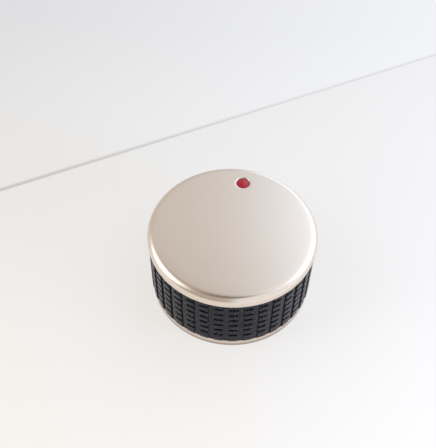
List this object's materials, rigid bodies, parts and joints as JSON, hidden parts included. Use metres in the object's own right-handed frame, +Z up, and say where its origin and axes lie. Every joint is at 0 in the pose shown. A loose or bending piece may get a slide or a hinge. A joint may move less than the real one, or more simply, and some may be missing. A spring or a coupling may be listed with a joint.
{
  "type": "demagnetizer",
  "caption": "Round pocket demagnetizer for watches: metal cap with a lit push button, ribbed rubber grip band, metal base rim, and a coil, capacitors, board and battery inside.",
  "frame": {"origin": "centre of the footprint, on the surface that the rubber feet stand on", "axes": "+Z up, out of the cap's top face; +Y from the axis towards the push button and the charging port; +X to the right"},
  "size_m": [0.06, 0.06, 0.0309],
  "materials": {
    "champagne_metal": "satin champagne anodised, polished at the button hole",
    "base_metal": "satin champagne anodised",
    "red_lens": "glossy translucent red, lit from below",
    "grip_rubber": "matte moulded rubber",
    "foot_rubber": "matte",
    "black_plastic": "fine texture",
    "chip_epoxy": "matte moulded epoxy",
    "frame_plastic": "fine texture",
    "bright_steel": "bright plated",
    "screw_steel": "zinc plated",
    "spring_steel": "drawn wire",
    "bobbin_nylon": "natural nylon",
    "copper_winding": "enamelled copper wire",
    "ferrite": "sintered, dark grey",
    "foam": "closed-cell foam",
    "board_green": "green solder mask",
    "capacitor_sleeve": "shrink sleeve",
    "tape_yellow": "polyester tape",
    "led_lens": "clear-tinted lens",
    "ceramic_chip": "ceramic chip parts",
    "usb_plastic": "moulded",
    "cell_foil": "laminated foil pouch",
    "lead_red": "silicone insulation",
    "lead_black": "silicone insulation",
    "label_film": "blank printed-film label"
  },
  "bodies": {
    "case": {"top_cap": "champagne_metal", "button_spring": "spring_steel", "switch_body": "black_plastic", "switch_cover": "bright_steel", "grip_band": "grip_rubber", "port_bezel": "black_plastic", "chassis": "frame_plastic", "base_cover": "base_metal", "rating_label": "label_film", "foot_1": "foot_rubber", "foot_2": "foot_rubber", "foot_3": "foot_rubber", "foot_4": "foot_rubber", "case_screw_1": "screw_steel", "case_screw_2": "screw_steel", "case_screw_3": "screw_steel", "case_screw_4": "screw_steel", "board_screw_1": "screw_steel", "board_screw_2": "screw_steel", "board_screw_3": "screw_steel", "coil_screw_1": "screw_steel", "coil_screw_2": "screw_steel", "coil_screw_3": "screw_steel", "coil_carrier": "bobbin_nylon", "coil_bobbin": "bobbin_nylon", "field_coil": "copper_winding", "ferrite_core": "ferrite", "coil_cushion": "foam", "coil_lead_1": "copper_winding", "coil_lead_2": "copper_winding", "main_board": "board_green", "capacitor_1": "capacitor_sleeve", "capacitor_2": "capacitor_sleeve", "transformer_core": "ferrite", "transformer_winding": "tape_yellow", "thyristor": "chip_epoxy", "controller_chip": "chip_epoxy", "charger_chip": "chip_epoxy", "status_led": "led_lens", "diode_1": "chip_epoxy", "diode_2": "chip_epoxy", "small_parts": "ceramic_chip", "usb_shell": "bright_steel", "usb_tongue": "usb_plastic", "battery_cell": "cell_foil", "battery_pad": "foam", "battery_board": "board_green", "battery_lead_1": "lead_red", "battery_lead_2": "lead_black", "board_header": "bobbin_nylon", "battery_plug": "bobbin_nylon"},
    "button": {"fire_button": "red_lens", "switch_plunger": "black_plastic"}
  },
  "joints": [
    {"name": "button_press", "type": "slide", "parent": "case", "child": "button", "axis": [0, 0, -1], "range_m": [0, 0.0005], "stiffness_N_per_m": 1500, "springref_m": -0.0004, "deforming": ["button_spring"]}
  ]
}
